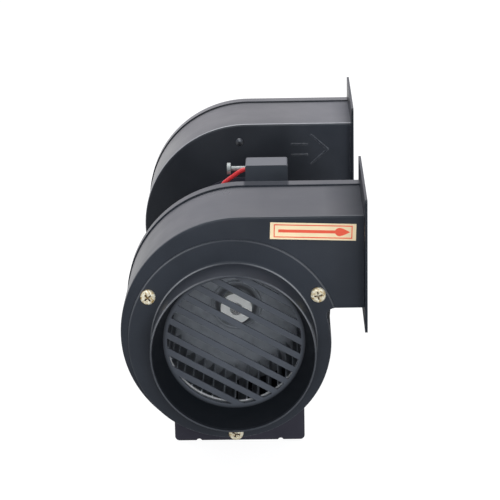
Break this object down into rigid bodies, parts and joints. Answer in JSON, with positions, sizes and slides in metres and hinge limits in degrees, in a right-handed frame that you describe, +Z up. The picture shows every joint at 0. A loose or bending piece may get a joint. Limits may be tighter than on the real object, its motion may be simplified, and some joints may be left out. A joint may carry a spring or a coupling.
{
  "type": "twin centrifugal blower",
  "caption": "Twin centrifugal blower with drawn sheet-metal scrolls on one through-shaft motor, round grilled inlet collars and flanged side outlets on a folded steel base.",
  "frame": {"origin": "middle of the base underside, half-way between the two scrolls", "axes": "+X the way the outlets blow, +Y along the shaft to the rear scroll, +Z up"},
  "size_m": [0.1509, 0.3564, 0.1911],
  "materials": {
    "black_paint": "semi-gloss black paint on sheet steel",
    "inlet_paint": "satin black paint",
    "yellow_zinc": "yellow zinc plated steel",
    "bright_steel": "bright steel",
    "dark_steel": "black oxide steel",
    "core_steel": "stacked electrical steel",
    "wheel_metal": "plain aluminium sheet",
    "copper_wire": "enamelled copper wire",
    "block_plastic": "moulded black plastic",
    "red_insulation": "red wire insulation",
    "black_rubber": "black rubber",
    "sticker_film": "cream label film"
  },
  "bodies": {
    "housing": {"front_shell": "black_paint", "front_back_plate": "black_paint", "front_outlet_flange": "black_paint", "front_inlet_collar": "inlet_paint", "front_inlet_grille": "inlet_paint", "front_collar_screws": "yellow_zinc", "front_motor_screws": "bright_steel", "rear_shell": "black_paint", "rear_inlet_plate": "black_paint", "rear_outlet_flange": "black_paint", "rear_inlet_collar": "inlet_paint", "rear_inlet_grille": "inlet_paint", "rear_collar_screws": "yellow_zinc", "rear_motor_screws": "bright_steel", "rear_rivet": "black_paint", "base_bracket": "black_paint", "motor_casing": "black_paint", "front_end_bell": "black_paint", "rear_end_bell": "black_paint", "casing_screws": "bright_steel", "stator_core": "core_steel", "stator_winding": "copper_wire", "front_bearing": "bright_steel", "rear_bearing": "bright_steel", "terminal_block": "block_plastic", "terminal_screw": "yellow_zinc", "motor_lead": "red_insulation", "lead_grommet": "black_rubber", "direction_sticker": "sticker_film"},
    "rotor": {"front_impeller": "wheel_metal", "front_hub": "wheel_metal", "front_set_screw": "dark_steel", "rear_impeller": "wheel_metal", "rear_hub": "wheel_metal", "rear_set_screw": "dark_steel", "motor_shaft": "bright_steel", "rotor_core": "core_steel"}
  },
  "joints": [
    {"name": "rotor_spin", "type": "hinge", "parent": "housing", "child": "rotor", "pos_m": [0, 0, 0.098], "axis": [0, 1, 0], "continuous": true}
  ]
}
